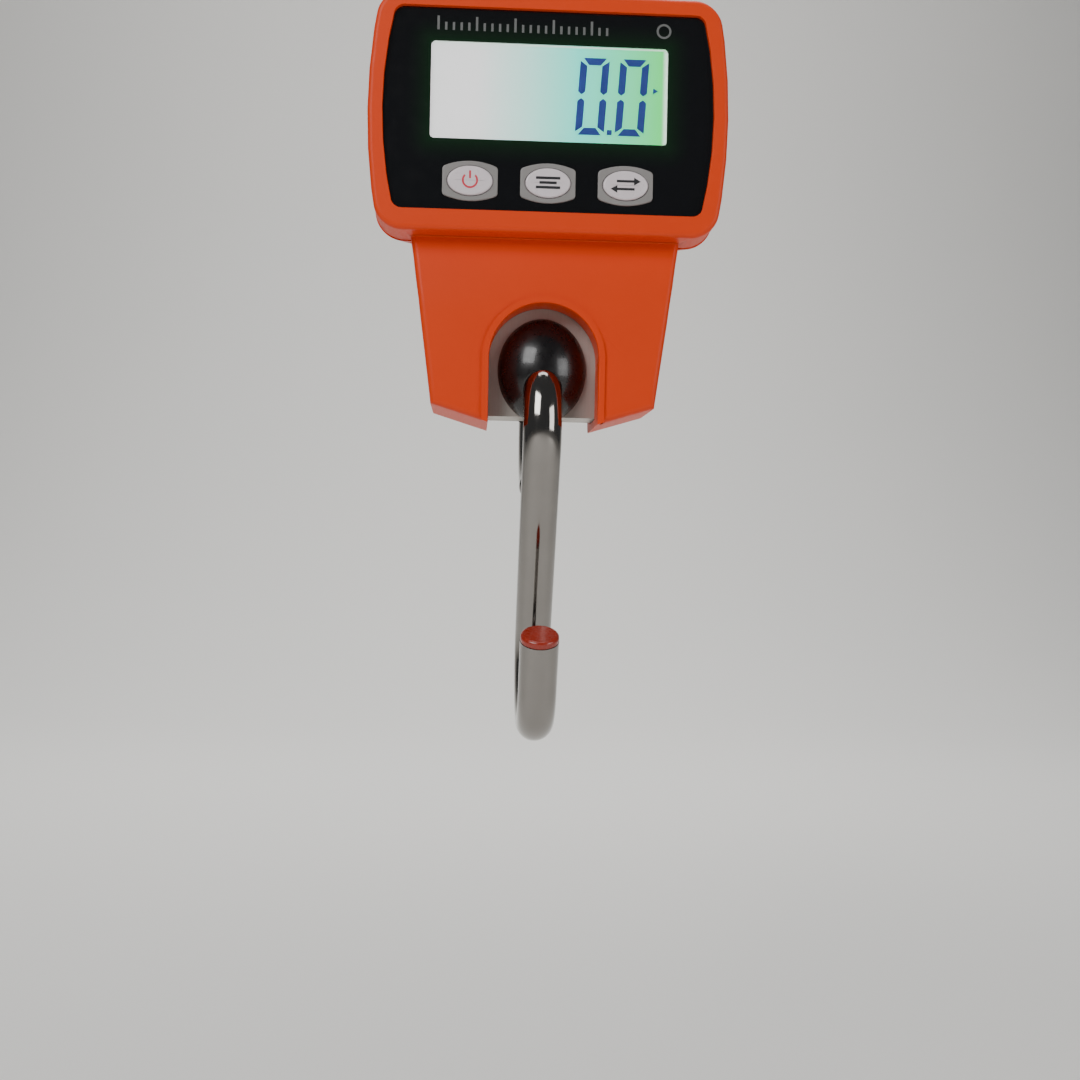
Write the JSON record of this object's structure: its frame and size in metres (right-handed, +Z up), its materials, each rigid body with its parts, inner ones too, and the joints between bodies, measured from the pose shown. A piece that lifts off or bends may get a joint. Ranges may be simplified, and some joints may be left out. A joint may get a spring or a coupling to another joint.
{
  "type": "hanging scale",
  "caption": "Hanging digital scale: bowed display head with oval buttons, sensing plate inside, a swivelling steel ring above and a swivelling load hook below.",
  "frame": {"origin": "inside top of the hanging ring, where the scale is hung", "axes": "+X right of the display, +Y from the display to the back, +Z up"},
  "size_m": [0.0926, 0.0471, 0.2651],
  "materials": {
    "orange_shell": "fine spark texture",
    "black_panel": "smooth printed film",
    "clear_window": "clear",
    "lcd_green": "backlit liquid crystal cell",
    "backlight_white": "frosted diffuser",
    "black_matte": "moulded",
    "ribbon_amber": "polyimide film",
    "board_green": "solder mask",
    "zinc_screw": "zinc plated",
    "grey_plastic": "moulded",
    "white_rubber": "cured silicone",
    "plain_aluminium": "fine milled",
    "cell_jacket": "shrink sleeve",
    "chromed_steel": "polished chrome plate",
    "black_gloss": "polished moulding",
    "red_cap": "moulded",
    "white_button": "moulded"
  },
  "bodies": {
    "ring": {"hanging_ring": "chromed_steel"},
    "ring_bush": {"ring_bush_front": "black_gloss", "ring_bush_rear": "black_gloss"},
    "casing": {"front_shell": "orange_shell", "rear_shell": "orange_shell", "front_panel": "black_panel", "display_window": "clear_window", "lcd_glass": "lcd_green", "lcd_backlight": "backlight_white", "lcd_frame": "black_matte", "display_ribbon": "ribbon_amber", "circuit_board": "board_green", "board_components": "black_matte", "board_screws": "zinc_screw", "button_surrounds": "grey_plastic", "tact_switches": "black_matte", "load_cell": "plain_aluminium", "strain_gauges": "ribbon_amber", "gauge_sealant": "white_rubber", "gauge_lead": "white_rubber", "load_cell_screws": "zinc_screw", "battery_tray": "black_matte", "battery_cells": "cell_jacket", "battery_springs": "zinc_screw", "battery_contacts": "zinc_screw", "shell_screws": "zinc_screw"},
    "hook_bush": {"hook_bush_front": "black_gloss", "hook_bush_rear": "black_gloss"},
    "hook": {"hook_rod": "chromed_steel", "hook_tip_cap": "red_cap"},
    "power_button": {"power_key": "white_button", "power_plunger": "black_matte"},
    "hold_button": {"hold_key": "white_button", "hold_plunger": "black_matte"},
    "unit_button": {"unit_key": "white_button", "unit_plunger": "black_matte"},
    "battery_door": {"battery_cover": "orange_shell"}
  },
  "joints": [
    {"name": "ring_pitch", "type": "hinge", "parent": "ring", "child": "ring_bush", "pos_m": [0, 0, -0.0285], "axis": [1, 0, 0], "range_deg": [-35, 35]},
    {"name": "casing_swing", "type": "hinge", "parent": "ring_bush", "child": "casing", "pos_m": [0, 0, -0.044], "axis": [0, 1, 0], "range_deg": [-25, 25]},
    {"name": "hook_swing", "type": "hinge", "parent": "casing", "child": "hook_bush", "pos_m": [0, 0, -0.1558], "axis": [0, 1, 0], "range_deg": [-25, 25]},
    {"name": "hook_pitch", "type": "hinge", "parent": "hook_bush", "child": "hook", "pos_m": [0, 0, -0.1713], "axis": [1, 0, 0], "range_deg": [-40, 40]},
    {"name": "power_press", "type": "slide", "parent": "casing", "child": "power_button", "axis": [0, 1, 0], "range_m": [0, 0.0005], "stiffness_N_per_m": 4000},
    {"name": "hold_press", "type": "slide", "parent": "casing", "child": "hold_button", "axis": [0, 1, 0], "range_m": [0, 0.0005], "stiffness_N_per_m": 4000},
    {"name": "unit_press", "type": "slide", "parent": "casing", "child": "unit_button", "axis": [0, 1, 0], "range_m": [0, 0.0005], "stiffness_N_per_m": 4000},
    {"name": "battery_door_slide", "type": "slide", "parent": "casing", "child": "battery_door", "axis": [0, 0, -1], "range_m": [0, 0.04]}
  ]
}
